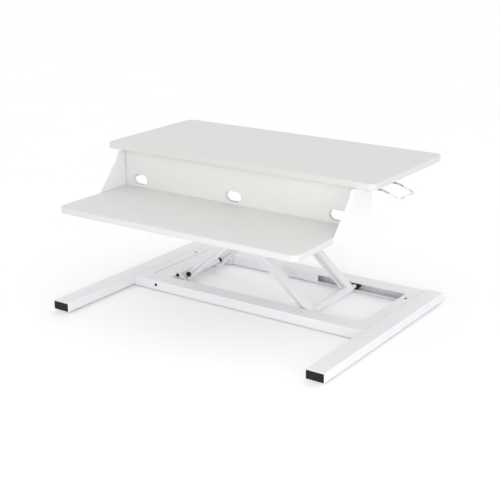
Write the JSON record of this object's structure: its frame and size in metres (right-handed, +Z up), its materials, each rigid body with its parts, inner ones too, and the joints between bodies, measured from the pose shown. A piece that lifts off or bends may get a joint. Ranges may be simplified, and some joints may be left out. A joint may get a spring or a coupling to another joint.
{
  "type": "standing desk converter",
  "caption": "Sit-stand desk converter: a worktop and a lower keyboard tray on a scissor lift, with a wire release lever and a tubular base frame.",
  "frame": {"origin": "under the middle of the whole object's box, on the desk that it stands on", "axes": "+X to the right of the person who uses it, +Y to the back, +Z up"},
  "size_m": [0.8572, 0.6408, 0.4095],
  "materials": {
    "board_laminate": "white melamine laminate with a fine pearl texture",
    "edge_band": "white edge banding, satin",
    "panel_laminate": "white melamine laminate, a little warmer than the steel",
    "white_steel": "white powder coat, fine orange peel",
    "zinc_steel": "zinc plated",
    "black_steel": "black oxide",
    "black_plastic": "moulded, fine spark-eroded grain",
    "black_nylon": "moulded nylon, satin",
    "grey_plastic": "moulded, satin",
    "rubber_grey": "matt rubber",
    "spring_paint": "black enamel",
    "rod_chrome": "polished rod",
    "cable_sheath": "black PVC sheath",
    "lever_nickel": "satin nickel plated wire"
  },
  "bodies": {
    "base": {"base_tube_left": "white_steel", "base_tube_right": "white_steel", "end_cap_front_left": "black_plastic", "end_cap_front_right": "black_plastic", "end_cap_rear_left": "black_plastic", "end_cap_rear_right": "black_plastic", "rubber_feet": "rubber_grey", "base_rail_front": "white_steel", "base_rail_rear": "white_steel", "base_side_left": "white_steel", "base_side_right": "white_steel", "base_cross_plate": "white_steel", "lower_pivot_bracket_front": "white_steel", "lower_pivot_bracket_rear": "white_steel", "lower_pivot_axle": "zinc_steel", "base_bolts": "black_steel"},
    "inner_arms": {"inner_arm_front": "white_steel", "inner_arm_rear": "white_steel", "inner_arm_tube": "white_steel", "inner_arm_collars": "black_nylon", "spring_tube": "white_steel", "spring_lugs": "white_steel", "spring_lug_pin": "black_steel", "upper_axle_sleeve": "white_steel", "upper_axle": "zinc_steel", "centre_bolts": "zinc_steel", "centre_nuts": "zinc_steel"},
    "outer_arms": {"outer_arm_front": "white_steel", "outer_arm_rear": "white_steel", "lower_axle_sleeve": "white_steel", "lower_axle": "zinc_steel"},
    "top": {"worktop": "board_laminate", "worktop_edge_band": "edge_band", "keyboard_tray": "board_laminate", "tray_edge_band": "edge_band", "back_panel": "panel_laminate", "side_bracket_left": "white_steel", "side_bracket_right": "white_steel", "board_screws": "zinc_steel", "upper_rail_front": "white_steel", "upper_rail_rear": "white_steel", "upper_cross_plate_left": "white_steel", "upper_cross_plate_right": "white_steel", "upper_pivot_bracket_front": "white_steel", "upper_pivot_bracket_rear": "white_steel", "upper_pivot_axle": "zinc_steel", "spring_mount": "white_steel", "spring_mount_pin": "black_steel", "lever_mount": "white_steel", "cable_stop": "white_steel", "release_cable": "cable_sheath", "cable_clips": "grey_plastic"},
    "roller_lower_front": {"lower_roller_front": "black_nylon"},
    "roller_lower_rear": {"lower_roller_rear": "black_nylon"},
    "roller_upper_front": {"upper_roller_front": "black_nylon"},
    "roller_upper_rear": {"upper_roller_rear": "black_nylon"},
    "gas_cylinder": {"spring_cylinder": "spring_paint"},
    "gas_rod": {"spring_rod": "rod_chrome"},
    "release_lever": {"lever_wire": "lever_nickel"}
  },
  "joints": [
    {"name": "lift", "type": "hinge", "parent": "base", "child": "inner_arms", "pos_m": [-0.26562, 0.132, 0.0165], "axis": [0, -1, 0], "range_deg": [-32, 13.5]},
    {"name": "arms_cross", "type": "hinge", "parent": "inner_arms", "child": "outer_arms", "pos_m": [-0.05663, 0.132, 0.19855], "axis": [0, -1, 0], "range_deg": [-27, 64]},
    {"name": "top_level", "type": "hinge", "parent": "outer_arms", "child": "top", "pos_m": [-0.26562, 0.132, 0.3806], "axis": [0, -1, 0], "range_deg": [-32, 13.5]},
    {"name": "roller_turn_lower_front", "type": "hinge", "parent": "outer_arms", "child": "roller_lower_front", "pos_m": [0.15238, -0.014, 0.0165], "axis": [0, -1, 0], "continuous": true},
    {"name": "roller_turn_lower_rear", "type": "hinge", "parent": "outer_arms", "child": "roller_lower_rear", "pos_m": [0.15238, 0.277, 0.0165], "axis": [0, -1, 0], "continuous": true},
    {"name": "roller_turn_upper_front", "type": "hinge", "parent": "inner_arms", "child": "roller_upper_front", "pos_m": [0.15238, -0.014, 0.3806], "axis": [0, -1, 0], "continuous": true},
    {"name": "roller_turn_upper_rear", "type": "hinge", "parent": "inner_arms", "child": "roller_upper_rear", "pos_m": [0.15238, 0.277, 0.3806], "axis": [0, -1, 0], "continuous": true},
    {"name": "spring_swing", "type": "hinge", "parent": "top", "child": "gas_cylinder", "pos_m": [-0.11232, 0.132, 0.3806], "axis": [0, -1, 0], "range_deg": [-16.47, 39.02]},
    {"name": "spring_extend", "type": "slide", "parent": "gas_cylinder", "child": "gas_rod", "axis": [0.4801, 0, -0.8772], "range_m": [-0.0328, 0.01385]},
    {"name": "lever_squeeze", "type": "hinge", "parent": "top", "child": "release_lever", "pos_m": [0.35637, 0.002, 0.3883], "axis": [0, -1, 0], "range_deg": [0, 5.5], "stiffness_Nm_per_rad": 0.4, "springref_deg": -8.59}
  ],
  "couplings": [
    {"joint": "arms_cross", "follows": "lift", "ratio": -2},
    {"joint": "top_level", "follows": "lift", "ratio": 1},
    {"joint": "spring_swing", "follows": "lift", "ratio": -1.2191},
    {"joint": "spring_extend", "follows": "lift", "m_per_rad": 0.05869}
  ]
}
